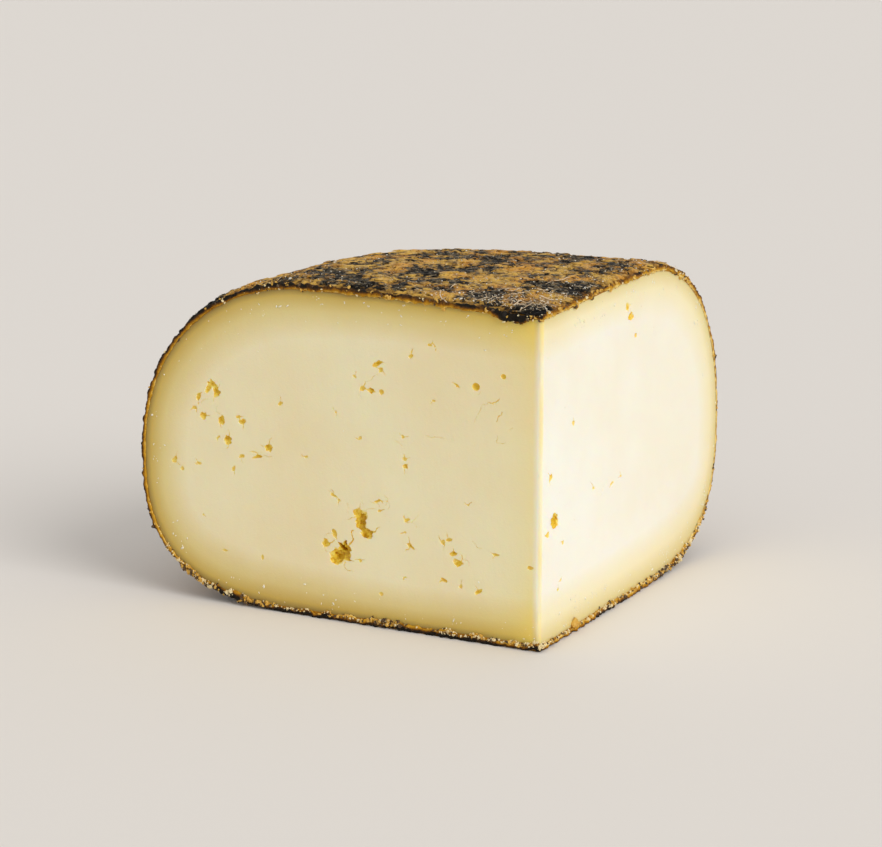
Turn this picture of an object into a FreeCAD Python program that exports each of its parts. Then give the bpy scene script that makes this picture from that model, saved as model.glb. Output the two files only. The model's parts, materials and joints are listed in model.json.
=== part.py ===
"""A quarter of a Mahon cheese: a square cushion-shaped wheel cut twice through its middle.

Millimetres, +Z up, standing on the flat base. The origin is under the middle of the
bounding box. The front cut faces -Y, the side cut faces +X, and they meet in the upright
cut edge, which was the axis of the whole wheel. The rind bulges out to -X and +Y and goes
round the wheel's one remaining corner.
"""
import FreeCAD, Part
import math
import os

from FreeCAD import Placement, Rotation, Vector

# --- driving sizes -------------------------------------------------------------------
front_reach = 106.5          # cut edge to the widest point of the rind, along the front cut
side_reach = 105.0           # cut edge to the widest point of the rind, along the side cut
height = 79.5                # base to the level part of the top
plan_radius = 70.0           # rounding of the wheel's corner, seen from above
belly_height = 34.0          # level at which the rind stands out furthest
foot_inset = 44.5            # from the widest point in to the edge of the flat base
shoulder_inset = 46.0        # from the widest point in to the level part of the top
foot_fullness = 2.7          # exponent of the lower curve: 2 is an ellipse, more is squarer
shoulder_fullness = 2.1      # exponent of the upper curve
dish_depth = 3.2             # how far the top sinks at the middle of the wheel
dish_radius = 56.0           # how far from the middle that hollow reaches
lip_radius = 1.2             # roll of the rim where the knife dragged the rind over the cuts
curve_steps = 8              # spans in each spline of the side profile
touch = 0.001                # how near to a cut an edge lies when it is on it

# --- eyes: holes that the cuts lay open ----------------------------------------------
# (share of the reach from the cut edge, share of the height, width, height, depth, tilt)
front_eyes = (
    (0.484, 0.214, 6.6, 8.0, 3.4, -25.0),
    (0.514, 0.246, 3.0, 4.2, 2.2, 30.0),
    (0.430, 0.301, 4.0, 5.2, 2.8, 12.0),
    (0.806, 0.657, 4.2, 3.6, 2.4, -20.0),
    (0.832, 0.570, 2.2, 2.2, 1.5, 0.0),
    (0.767, 0.501, 2.6, 2.5, 1.6, 15.0),
    (0.662, 0.496, 2.5, 2.6, 1.7, 0.0),
    (0.388, 0.777, 3.0, 2.4, 1.8, 20.0),
    (0.153, 0.742, 2.2, 2.2, 1.6, 0.0),
    (0.432, 0.552, 2.2, 2.1, 1.5, 0.0),
    (0.308, 0.254, 2.8, 1.9, 1.6, 10.0),
    (0.222, 0.282, 2.6, 2.0, 1.6, -15.0),
    (0.191, 0.224, 2.7, 1.9, 1.6, 20.0),
    (0.144, 0.147, 2.7, 1.9, 1.5, 0.0),
)
side_eyes = (
    (0.069, 0.358, 3.9, 3.6, 2.6, 10.0),
    (0.158, 0.617, 2.3, 1.9, 1.4, 0.0),
    (0.455, 0.874, 4.0, 3.4, 2.0, -40.0),
)

# --- places worked out from them -----------------------------------------------------
rind_x = -front_reach / 2
rind_y = side_reach / 2
cut_x = front_reach / 2
cut_y = -side_reach / 2
turn_x = rind_x + plan_radius
turn_y = rind_y - plan_radius


def superellipse(centre, half_width, half_height, fullness, start, end):
    """Spline along a superellipse about centre (outward, up), between two angles in degrees."""
    points = []
    for step in range(curve_steps + 1):
        angle = math.radians(start + (end - start) * step / curve_steps)
        across = abs(math.cos(angle)) ** (2 / fullness) * half_width
        rise = math.copysign(abs(math.sin(angle)) ** (2 / fullness) * half_height, math.sin(angle))
        points.append(Vector(centre[0] + across, 0, centre[1] + rise))
    flat, upright = Vector(1, 0, 0), Vector(0, 0, 1)
    first, last = (flat, upright) if start < end and start < 0 else (upright, -flat)
    curve = Part.BSplineCurve()
    curve.interpolate(Points=points, InitialTangent=first, FinalTangent=last)
    return curve.toShape()


def side_profile():
    """Upright slice of the rim, outward along +X from the axis that the corner turns about."""
    foot = plan_radius - foot_inset
    shoulder = plan_radius - shoulder_inset
    lower = superellipse((foot, belly_height), foot_inset, belly_height, foot_fullness, -90, 0)
    upper = superellipse(
        (shoulder, belly_height), shoulder_inset, height - belly_height, shoulder_fullness, 0, 90)
    base = Part.makeLine(Vector(0, 0, 0), Vector(foot, 0, 0))
    top = Part.makeLine(Vector(shoulder, 0, height), Vector(0, 0, height))
    inner = Part.makeLine(Vector(0, 0, height), Vector(0, 0, 0))
    return Part.Face(Part.Wire([base, lower, upper, top, inner]))


def cushion():
    """The quarter wheel with a level top: two straight rims, the turned corner and the core."""
    profile = side_profile()
    facing_left = profile.copy()
    facing_left.Placement = Placement(Vector(turn_x, turn_y, 0), Rotation(Vector(0, 0, 1), 180))
    facing_back = profile.copy()
    facing_back.Placement = Placement(Vector(turn_x, turn_y, 0), Rotation(Vector(0, 0, 1), 90))
    corner = facing_left.revolve(Vector(turn_x, turn_y, 0), Vector(0, 0, 1), -90)
    left_rim = facing_left.extrude(Vector(0, cut_y - turn_y, 0))
    back_rim = facing_back.extrude(Vector(cut_x - turn_x, 0, 0))
    core = Part.makeBox(cut_x - turn_x, turn_y - cut_y, height, Vector(turn_x, cut_y, 0))
    return core.fuse([corner, left_rim, back_rim]).removeSplitter()


def dish():
    """Ball whose underside hollows the top round the middle of the wheel."""
    ball_radius = (dish_radius ** 2 + dish_depth ** 2) / (2 * dish_depth)
    return Part.makeSphere(ball_radius, Vector(cut_x, cut_y, height - dish_depth + ball_radius))


def roll_lips(body):
    """Round the whole rim of both cuts, which leaves the upright cut edge sharp."""
    lips = []
    for edge in body.Edges:
        box = edge.BoundBox
        on_front_cut = box.YMax < cut_y + touch
        on_side_cut = box.XMin > cut_x - touch
        if on_front_cut != on_side_cut:
            lips.append(edge)
    return body.makeFillet(lip_radius, lips)


def eye(width, tall, depth, tilt):
    """Rounded pocket about the origin that opens to -Y: an ellipsoid tilted in the cut's plane."""
    ball = Part.makeSphere(1.0)
    stretch = FreeCAD.Matrix()
    stretch.scale(width / 2, depth, tall / 2)
    pocket = ball.transformGeometry(stretch)
    pocket.rotate(Vector(0, 0, 0), Vector(0, 1, 0), tilt)
    return pocket


def eyes():
    """Every pocket, each centred on its cut."""
    pockets = []
    for across, up, width, tall, depth, tilt in front_eyes:
        pocket = eye(width, tall, depth, tilt)
        pocket.translate(Vector(cut_x - across * front_reach, cut_y, up * height))
        pockets.append(pocket)
    for across, up, width, tall, depth, tilt in side_eyes:
        pocket = eye(width, tall, depth, tilt)
        pocket.rotate(Vector(0, 0, 0), Vector(0, 0, 1), 90)
        pocket.translate(Vector(cut_x, cut_y + across * side_reach, up * height))
        pockets.append(pocket)
    return pockets


os.makedirs("parts", exist_ok=True)
quarter = roll_lips(cushion().cut(dish())).cut(eyes())
centre = quarter.Solids[0].CenterOfMass
print("litres", round(quarter.Volume / 1e6, 4), "solids", len(quarter.Solids), "valid", quarter.isValid())
print("centre of mass", [round(value, 1) for value in centre])
quarter.exportStep("parts/cheese_quarter.step")
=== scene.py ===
"""Looks of a quarter of a Mahon cheese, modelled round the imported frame.

The quarter stands on its flat base. The front cut faces -Y, the side cut faces +X, and they
meet in the upright cut edge, which was the axis of the whole wheel. A thin dry rind closes
the top, the bulging sides and the base. Lengths are in metres.
"""
from __future__ import annotations

import json
import logging
import math
from collections.abc import Callable, Iterable
from dataclasses import dataclass, field
from enum import Enum

import bpy
import numpy as np
from mathutils import Euler, Matrix, Vector, noise
from mathutils.bvhtree import BVHTree

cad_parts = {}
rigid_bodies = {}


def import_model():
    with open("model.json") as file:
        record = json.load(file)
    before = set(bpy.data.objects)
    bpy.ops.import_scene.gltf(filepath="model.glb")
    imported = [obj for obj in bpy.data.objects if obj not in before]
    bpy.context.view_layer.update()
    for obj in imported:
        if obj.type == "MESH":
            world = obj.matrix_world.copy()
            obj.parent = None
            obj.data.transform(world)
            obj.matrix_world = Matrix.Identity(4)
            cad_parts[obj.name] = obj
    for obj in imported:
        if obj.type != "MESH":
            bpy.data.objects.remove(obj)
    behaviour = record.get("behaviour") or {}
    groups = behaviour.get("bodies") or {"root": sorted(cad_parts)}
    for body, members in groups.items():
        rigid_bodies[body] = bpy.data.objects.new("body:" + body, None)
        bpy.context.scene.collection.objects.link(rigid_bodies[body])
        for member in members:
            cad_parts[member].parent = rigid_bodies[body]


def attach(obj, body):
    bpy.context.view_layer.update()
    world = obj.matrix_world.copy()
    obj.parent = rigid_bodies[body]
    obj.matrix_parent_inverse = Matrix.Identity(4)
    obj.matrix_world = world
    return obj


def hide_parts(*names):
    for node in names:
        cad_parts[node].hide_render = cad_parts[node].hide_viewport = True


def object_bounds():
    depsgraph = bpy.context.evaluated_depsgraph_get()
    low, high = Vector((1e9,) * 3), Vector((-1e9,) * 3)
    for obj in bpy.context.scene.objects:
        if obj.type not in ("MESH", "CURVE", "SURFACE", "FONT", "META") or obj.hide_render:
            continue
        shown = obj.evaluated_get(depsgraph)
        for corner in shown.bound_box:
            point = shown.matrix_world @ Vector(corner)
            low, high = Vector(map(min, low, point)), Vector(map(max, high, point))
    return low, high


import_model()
CAD_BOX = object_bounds()
LOG = logging.getLogger("cheese")
MM = 0.001
ROOT = "root"
NODE = "cheese_quarter"
HAIR = 1e-6
FLAT = 0.999
NO_CREASE = 180.0
LEVEL = np.array((1, 1, 0))

Piece = bpy.types.Object
Socket = bpy.types.NodeSocket
Span = tuple[float, float]
Triple = tuple[float, float, float]
Colour = tuple[float, float, float, float]


# --- small helpers for operator modelling ---------------------------------------------
def deselect_all() -> None:
    """Leave nothing selected, as operators act on all that is."""
    for other in bpy.context.view_layer.objects:
        other.select_set(False)


def make_active(obj: Piece) -> None:
    """Select one object alone and make it the active one.

    Args:
        obj: the object to work on.
    """
    deselect_all()
    obj.select_set(True)
    bpy.context.view_layer.objects.active = obj


def take_new(name: str) -> Piece:
    """Name the primitive that was just added and put its place into its mesh.

    Args:
        name: what to call it.

    Returns:
        The object, with its origin at the frame's origin.
    """
    obj = bpy.context.object
    obj.name = obj.data.name = name
    make_active(obj)
    bpy.ops.object.transform_apply(location=True, rotation=True, scale=True)
    return obj


def start_editing(obj: Piece, part: str = "VERT") -> None:
    """Enter edit mode with all of one object selected.

    Args:
        obj: the object to edit.
        part: the kind of element that is selected: VERT, EDGE or FACE.
    """
    make_active(obj)
    bpy.ops.object.mode_set(mode="EDIT")
    bpy.ops.mesh.select_mode(type=part)
    bpy.ops.mesh.select_all(action="SELECT")


def stop_editing() -> None:
    """Go back to object mode."""
    bpy.ops.object.mode_set(mode="OBJECT")


def start_editing_faces(obj: Piece, chosen: Callable[[bpy.types.MeshPolygon], bool]) -> None:
    """Enter edit mode with only some faces of one object selected.

    Args:
        obj: the object to edit.
        chosen: says of a face whether it is selected.
    """
    start_editing(obj, "FACE")
    bpy.ops.mesh.select_all(action="DESELECT")
    stop_editing()
    for face in obj.data.polygons:
        face.select = chosen(face)
    bpy.ops.object.mode_set(mode="EDIT")


def finish_modifier(obj: Piece, kind: str, **settings: object) -> None:
    """Add a modifier, set it up and apply it.

    Args:
        obj: the object that gets it.
        kind: Blender's name for the kind of modifier.
        **settings: the modifier's properties.
    """
    make_active(obj)
    modifier = obj.modifiers.new(kind.title(), kind)
    for key, value in settings.items():
        setattr(modifier, key, value)
    bpy.ops.object.modifier_apply(modifier=modifier.name)


def discard(*objects: Piece) -> None:
    """Remove helper objects and their meshes.

    Args:
        *objects: the helpers.
    """
    for obj in objects:
        mesh = obj.data
        bpy.data.objects.remove(obj)
        bpy.data.meshes.remove(mesh)


def join_into(first: Piece, others: Iterable[Piece]) -> Piece:
    """Join meshes into the first one.

    Args:
        first: the object that stays.
        others: the objects that become part of it.

    Returns:
        The object that stays.
    """
    make_active(first)
    for other in others:
        other.select_set(True)
    bpy.ops.object.join()
    return first


def points_of(obj: Piece) -> np.ndarray:
    """Read an object's vertices.

    Args:
        obj: the object.

    Returns:
        Rows of x, y and z.
    """
    flat = np.empty(len(obj.data.vertices) * 3, dtype=np.float32)
    obj.data.vertices.foreach_get("co", flat)
    return flat.reshape(-1, 3).astype(float)


def normals_of(obj: Piece) -> np.ndarray:
    """Read the normals at an object's vertices.

    Args:
        obj: the object.

    Returns:
        Rows of x, y and z.
    """
    flat = np.empty(len(obj.data.vertices) * 3, dtype=np.float32)
    obj.data.vertex_normals.foreach_get("vector", flat)
    return flat.reshape(-1, 3).astype(float)


def put_points(obj: Piece, points: np.ndarray) -> None:
    """Write an array of vertices back to an object."""
    obj.data.vertices.foreach_set("co", points.astype(np.float32).ravel())
    obj.data.update()


def put_attribute(obj: Piece, name: str, values: np.ndarray) -> None:
    """Store one number for each vertex under a name, for a material to read."""
    attribute = obj.data.attributes.new(name, "FLOAT", "POINT")
    attribute.data.foreach_set("value", values.astype(np.float32))


@dataclass(frozen=True)
class Wobble:
    """One kind of smooth unevenness: the span of its lumps, a seed and its number of layers."""

    span: float
    seed: float
    layers: int = 3
    fade: float = 0.8
    step: float = 2.1

    def at(self, points: np.ndarray) -> np.ndarray:
        """Read the unevenness at each point, mostly within -1 to 1."""
        shift = Vector((self.seed, 1.7 * self.seed, -0.6 * self.seed))
        return np.array([noise.fractal(Vector(point) / self.span + shift, self.fade, self.step, self.layers)
                         for point in points])


def tree_of(obj: Piece, keep: Callable[[Vector], bool] = lambda _: True) -> BVHTree:
    """Make a search tree over those faces of an object whose middles are to be kept."""
    return BVHTree.FromPolygons(
        [vertex.co for vertex in obj.data.vertices],
        [polygon.vertices[:] for polygon in obj.data.polygons if keep(polygon.center)])


def gap_to(tree: BVHTree, points: np.ndarray) -> np.ndarray:
    """Distance from each point to the nearest face of a tree."""
    return np.array([tree.find_nearest(Vector(point))[3] for point in points])


def smooth_step(values: np.ndarray, low: float, high: float) -> np.ndarray:
    """Ease from 0 at low to 1 at high."""
    share = np.clip((values - low) / (high - low), 0, 1)
    return share * share * (3 - 2 * share)


def hill(values: np.ndarray, middle: float, width: float) -> np.ndarray:
    """Rise to 1 at the middle and fall away smoothly on both sides."""
    return np.exp(-(((values - middle) / width) ** 2))


def fall_off(values: np.ndarray, reach: float | np.ndarray) -> np.ndarray:
    """Fall from 1 at zero towards 0, by about two thirds for each reach."""
    return np.exp(-np.maximum(values, 0) / reach)


class Cut(Enum):
    """The two flat cuts, each by the direction that it faces."""

    FRONT = (0.0, -1.0, 0.0)
    SIDE = (1.0, 0.0, 0.0)


# --- the form --------------------------------------------------------------------------
@dataclass
class Cushion:
    """Pillow form of the wheel round its one remaining corner, before the knife."""

    low: Vector
    high: Vector
    plan_radius: float = 70 * MM
    belly_height: float = 34 * MM
    foot_inset: float = 44.5 * MM
    shoulder_inset: float = 46 * MM
    foot_fullness: float = 2.7
    shoulder_fullness: float = 2.1
    overrun: float = 4 * MM
    profile_steps: int = 22
    turn_steps: int = 28
    dish_depth: float = 2.0 * MM
    dish_radius: float = 30 * MM
    lip_drop: float = 0.7 * MM
    lip_width: float = 4.5 * MM
    lip_limit: float = 1.6
    top_zone: Span = (0.55, 0.98)
    nose_from: float = 0.8
    pole_slack: float = 1e-5
    tree_voxel: float = 1.6 * MM
    cut_edge: Vector = field(init=False)
    turn: Vector = field(init=False)

    def __post_init__(self) -> None:
        """Work out where the cuts meet and what the rounded corner turns about."""
        self.cut_edge = Vector((self.high.x, self.low.y, 0))
        self.turn = Vector((self.low.x + self.plan_radius, self.high.y - self.plan_radius, 0))

    def profile_point(self, across: float, up: float, inset: float) -> Vector:
        """Map a point of the unit circle to the rim's side profile.

        Args:
            across: the circle's cosine, taken as its distance outward.
            up: the circle's sine.
            inset: how far the profile is drawn in from the skin.

        Returns:
            The point, outward along -X from the corner's axis and up from the base.
        """
        below = up < 0
        fullness = self.foot_fullness if below else self.shoulder_fullness
        width = (self.foot_inset if below else self.shoulder_inset) - inset
        tall = self.belly_height if below else self.high.z - self.belly_height
        root = self.plan_radius - width - inset
        out = root + width * abs(across) ** (2 / fullness)
        rise = math.copysign((tall - inset) * abs(up) ** (2 / fullness), up)
        return Vector((self.turn.x - out, 0, self.belly_height + rise))

    def uncut(self, name: str, inset: float, voxel: float) -> Piece:
        """Model the form: a bent circle swept along both sides, closed and remeshed.

        Args:
            name: the object's name.
            inset: how far inside the skin it lies.
            voxel: size of its even faces.

        Returns:
            A closed solid that runs past both cuts.
        """
        start = self.low.y - self.overrun
        deselect_all()
        bpy.ops.mesh.primitive_circle_add(
            vertices=4 * self.profile_steps, radius=1, rotation=(math.pi / 2, 0, 0))
        form = take_new(name)
        start_editing(form)
        bpy.ops.mesh.bisect(plane_co=(-self.pole_slack, 0, 0), plane_no=(1, 0, 0), clear_outer=True)
        stop_editing()
        for vertex in form.data.vertices:
            vertex.co = self.profile_point(vertex.co.x, vertex.co.z, inset)
            vertex.co.y = start
        start_editing(form)
        bpy.ops.mesh.extrude_region_move(
            TRANSFORM_OT_translate={"value": (0, self.turn.y - start, 0)})
        bpy.ops.mesh.spin(
            steps=self.turn_steps, angle=math.pi / 2, center=self.turn, axis=(0, 0, 1))
        bpy.ops.mesh.extrude_region_move(
            TRANSFORM_OT_translate={"value": (self.high.x + self.overrun - self.turn.x, 0, 0)})
        core = self.plan_radius - self.shoulder_inset
        bpy.ops.mesh.extrude_region_move(
            TRANSFORM_OT_translate={"value": (0, start - self.turn.y - core, 0)})
        bpy.ops.mesh.select_all(action="SELECT")
        bpy.ops.mesh.convex_hull()
        stop_editing()
        finish_modifier(form, "REMESH", mode="VOXEL", voxel_size=voxel)
        put_points(form, self.settle(points_of(form)))
        return form

    def behind(self, cut: Cut, points: np.ndarray) -> np.ndarray:
        """How far inside the cheese points lie, reckoned from one cut."""
        return (np.array(self.cut_edge) - points) @ np.array(cut.value)

    def behind_nearer(self, points: np.ndarray) -> np.ndarray:
        """How far inside the cheese points lie, reckoned from the nearer cut."""
        return np.minimum(*(self.behind(cut, points) for cut in Cut))

    def settle(self, points: np.ndarray) -> np.ndarray:
        """Sink the top at the wheel's middle and roll it down where the knife dragged it.

        Args:
            points: the form's vertices.

        Returns:
            The vertices, moved.
        """
        moved = points.copy()
        height = smooth_step(points[:, 2], *(share * self.high.z for share in self.top_zone))
        radius = np.hypot(*(np.maximum(self.behind(cut, points), 0) for cut in Cut))
        drop = self.dish_depth * hill(radius, 0, self.dish_radius)
        near_cut = 1 - self.behind_nearer(points) / self.lip_width
        drop += self.lip_drop * np.clip(near_cut, 0, self.lip_limit) ** 2
        moved[:, 2] -= drop * height
        return moved

    def slice_to_quarter(self, obj: Piece) -> None:
        """Cut a form along both planes and fill what the knife opens.

        Args:
            obj: the form.
        """
        start_editing(obj)
        for cut in Cut:
            bpy.ops.mesh.select_all(action="SELECT")
            bpy.ops.mesh.bisect(
                plane_co=self.cut_edge, plane_no=cut.value, use_fill=True, clear_outer=True,
                threshold=HAIR)
        stop_editing()

    def nose_share(self, points: np.ndarray, reach: float) -> np.ndarray:
        """How near points are to the top of the cut edge, from 1 there down to 0."""
        away = np.hypot(*(self.behind(cut, points) for cut in Cut))
        return hill(away, 0, reach) * (points[:, 2] > self.nose_from * self.high.z)

    def rim_share(self, points: np.ndarray, reach: float) -> np.ndarray:
        """How near points are to either cut, from 1 there down to 0."""
        return fall_off(self.behind_nearer(points), reach)

    def skin_tree(self) -> BVHTree:
        """Make a search tree of the skin alone, with neither of the cuts' faces.

        Returns:
            The tree, to measure how far things lie below the skin.
        """
        skin = self.uncut("skin_reference", 0.0, self.tree_voxel)
        tree = tree_of(skin, lambda middle: middle.y > self.cut_edge.y - self.overrun / 2
                       and middle.x < self.cut_edge.x + self.overrun / 2)
        discard(skin)
        return tree


# --- finishes ---------------------------------------------------------------------------
def tint(red: int, green: int, blue: int) -> Colour:
    """Turn a colour as a screen shows it into the linear one that shaders use.

    Args:
        red: its red, 0 to 255.
        green: its green.
        blue: its blue.

    Returns:
        The linear colour, opaque.
    """
    def linear(value: int) -> float:
        """Turn one channel."""
        share = value / 255
        return share / 12.92 if share <= 0.04045 else ((share + 0.055) / 1.055) ** 2.4

    return linear(red), linear(green), linear(blue), 1.0


BLACK = tint(0, 0, 0)
WHITE = tint(255, 255, 255)


@dataclass
class NodeSheet:
    """A material's node tree, with short ways to add and join its nodes."""

    name: str
    material: bpy.types.Material = field(init=False)
    shader: bpy.types.ShaderNode = field(init=False)

    def __post_init__(self) -> None:
        """Start a material that holds just its main shader."""
        self.material = bpy.data.materials.new(self.name)
        self.material.use_nodes = True
        self.shader = self.material.node_tree.nodes["Principled BSDF"]

    def set(self, **inputs: object) -> None:
        """Set the shader's own sockets; an underscore stands for a space in their names."""
        for key, value in inputs.items():
            self.shader.inputs[key.replace("_", " ")].default_value = value

    def add(self, kind: str, **settings: object) -> bpy.types.ShaderNode:
        """Add a node.

        Args:
            kind: the node's type, without its ShaderNode prefix.
            **settings: properties of the node.

        Returns:
            The node.
        """
        node = self.material.node_tree.nodes.new("ShaderNode" + kind)
        for key, value in settings.items():
            setattr(node, key, value)
        return node

    def link(self, source: Socket, target: Socket) -> None:
        """Join two sockets."""
        self.material.node_tree.links.new(source, target)

    def attribute(self, name: str) -> Socket:
        """Read a number that the mesh stores at each vertex."""
        return self.add("Attribute", attribute_name=name).outputs["Fac"]

    def noise(self, scale: float, detail: float = 4, roughness: float = 0.6,
              stretch: Triple = (1, 1, 1)) -> Socket:
        """Read soft noise fixed to the piece.

        Args:
            scale: lumps for each metre.
            detail: how many finer layers.
            roughness: how strong those are.
            stretch: how much the noise is squeezed along each axis.

        Returns:
            The noise's strength, about 0.5 on average.
        """
        place = self.add("TexCoord").outputs["Object"]
        mapping = self.add("Mapping")
        mapping.inputs["Scale"].default_value = stretch
        self.link(place, mapping.inputs["Vector"])
        texture = self.add("TexNoise")
        for key, value in (("Scale", scale), ("Detail", detail), ("Roughness", roughness)):
            texture.inputs[key].default_value = value
        self.link(mapping.outputs["Vector"], texture.inputs["Vector"])
        return texture.outputs["Fac"]

    def ramp(self, factor: Socket,
             *stops: tuple[float, Colour]) -> Socket:
        """Turn a number into a colour.

        Args:
            factor: the number, 0 to 1.
            *stops: each a place and its colour.

        Returns:
            The colour.
        """
        node = self.add("ValToRGB")
        elements = node.color_ramp.elements
        while len(elements) < len(stops):
            elements.new(1.0)
        for element, (place, colour) in zip(elements, stops):
            element.position = place
            element.color = colour
        self.link(factor, node.inputs["Fac"])
        return node.outputs["Color"]

    def maths(self, operation: str, first: object, second: object) -> Socket:
        """Combine two numbers or sockets.

        Args:
            operation: Blender's name for it.
            first: a number or a socket.
            second: a number or a socket.

        Returns:
            The result, kept within 0 and 1.
        """
        node = self.add("Math", operation=operation, use_clamp=True)
        for socket, value in zip(node.inputs, (first, second)):
            if isinstance(value, (int, float)):
                socket.default_value = value
            else:
                self.link(value, socket)
        return node.outputs["Value"]

    def total(self, *parts: tuple[Socket, float]) -> Socket:
        """Add numbers up, each times its own weight.

        Args:
            *parts: each a number's socket and its weight.

        Returns:
            The sum, kept within 0 and 1.
        """
        first, *others = [self.maths("MULTIPLY", part, weight) for part, weight in parts]
        for other in others:
            first = self.maths("ADD", first, other)
        return first

    def mix(self, factor: object, first: object, second: object,
            blend: str = "MIX") -> Socket:
        """Blend two colours.

        Args:
            factor: a number or a socket.
            first: the colour or socket at 0.
            second: the colour or socket at 1.
            blend: Blender's name for the way they blend.

        Returns:
            The blended colour.
        """
        node = self.add("Mix", data_type="RGBA", blend_type=blend)
        for socket, value in ((node.inputs[0], factor), (node.inputs[6], first),
                              (node.inputs[7], second)):
            if isinstance(value, Socket):
                self.link(value, socket)
            else:
                socket.default_value = value
        return node.outputs[2]

    def stain(self, colour: object, stain: object, share: object = 1.0) -> Socket:
        """Multiply a colour by a stain, as strongly as the share says."""
        return self.mix(share, colour, stain, "MULTIPLY")

    def colour(self, source: Socket) -> None:
        """Use a colour for the surface."""
        self.link(source, self.shader.inputs["Base Color"])

    def bump(self, *layers: tuple[Socket, float]) -> None:
        """Raise the surface by one or more heights.

        Args:
            *layers: each a height from 0 to 1 and how far 1 stands out, in metres.
        """
        normal = None
        for height, distance in layers:
            node = self.add("Bump")
            node.inputs["Strength"].default_value = 1.0
            node.inputs["Distance"].default_value = distance
            self.link(height, node.inputs["Height"])
            if normal is not None:
                self.link(normal, node.inputs["Normal"])
            normal = node.outputs["Normal"]
        self.link(normal, self.shader.inputs["Normal"])


@dataclass(frozen=True)
class PasteFinish:
    """Dense cut cheese: ivory in the middle, olive gold by the rind, deep gold in its eyes. The front
    colours are the paste painted warmer, as in shade, and the side colours the same paste painted paler, as
    in full light. The band by the rind is partly drier paste and partly painted shade. The eyes deepen to
    gold as painted shade and bounced light, and the glow by the cut edge is painted light.
    """

    # front_ and side_ colours are one paste: the front_ ones are painted warmer and with a darker band, as
    # in shade; the side_ ones are painted paler, as in full light.
    front_ivory: Colour = tint(249, 237, 198)
    side_ivory: Colour = tint(249, 246, 233)
    front_straw: Colour = tint(232, 214, 148)
    front_olive: Colour = tint(213, 184, 94)
    front_moss: Colour = tint(142, 114, 52)
    side_straw: Colour = tint(246, 236, 196)
    side_olive: Colour = tint(229, 212, 149)
    side_moss: Colour = tint(204, 170, 92)
    # Painted light: the warm glow by the cut edge stands in for light shining through the paste.
    glow: Colour = tint(255, 226, 102)
    # Painted shade: the side cut is dimmed towards its foot.
    foot_dim: Colour = tint(251, 249, 246)
    cloud: Colour = tint(250, 246, 238)
    # Eye colours deepen with depth as painted shade and bounced light in the hollows.
    eye_straw: Colour = tint(250, 226, 134)
    eye_gold: Colour = tint(240, 206, 62)
    eye_amber: Colour = tint(208, 160, 10)
    eye_sharpness: float = 11.0

    def make(self) -> bpy.types.Material:
        """Build the material.

        Returns:
            It, reading the attributes rind_gap, side_face, foot_shade, eye_depth and edge_glow.
        """
        sheet = NodeSheet("paste_cut")
        # Colour by nearness to the rind: the darker olive band there is partly the drier paste and partly
        # painted shade, where light is lost into the rind.
        gap = sheet.total((sheet.attribute("rind_gap"), 1.0), (sheet.noise(90, 3, 0.55), 0.05))
        front = sheet.ramp(gap, (0.09, self.front_moss), (0.22, self.front_olive),
                           (0.44, self.front_straw), (0.88, self.front_ivory))
        side = sheet.ramp(gap, (0.05, self.side_moss), (0.14, self.side_olive),
                          (0.38, self.side_straw), (0.88, self.side_ivory))
        # Painted light and shade: the front cut takes the shaded colours and the side cut the lit ones.
        body = sheet.mix(sheet.attribute("side_face"), front, side)
        body = sheet.stain(body, sheet.ramp(sheet.noise(26, 3, 0.5), (0.35, self.cloud), (0.65, WHITE)))
        # Painted shade towards the foot of the side cut.
        body = sheet.stain(body, self.foot_dim, sheet.attribute("foot_shade"))
        # Painted light: the glow by the cut edge.
        body = sheet.mix(sheet.attribute("edge_glow"), body, self.glow)
        # Painted shade and bounced light: the eyes and cracks turn deeper gold the deeper they go.
        depth = sheet.attribute("eye_depth")
        inside = sheet.ramp(depth, (0.0, self.eye_straw), (0.30, self.eye_gold), (0.85, self.eye_amber))
        sheet.colour(sheet.mix(sheet.maths("MULTIPLY", depth, self.eye_sharpness), body, inside))
        sheet.set(Roughness=0.46, Specular_IOR_Level=0.42, Subsurface_Weight=0.55,
                  Subsurface_Radius=(1.0, 0.72, 0.34), Subsurface_Scale=1.6 * MM)
        knife = sheet.noise(420, 3, 0.6, (1.0, 1.0, 0.35))
        crumbly = sheet.noise(1900, 3, 0.7)
        sheet.bump((knife, 0.10 * MM), (crumbly, 0.05 * MM))
        return sheet.material


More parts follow.
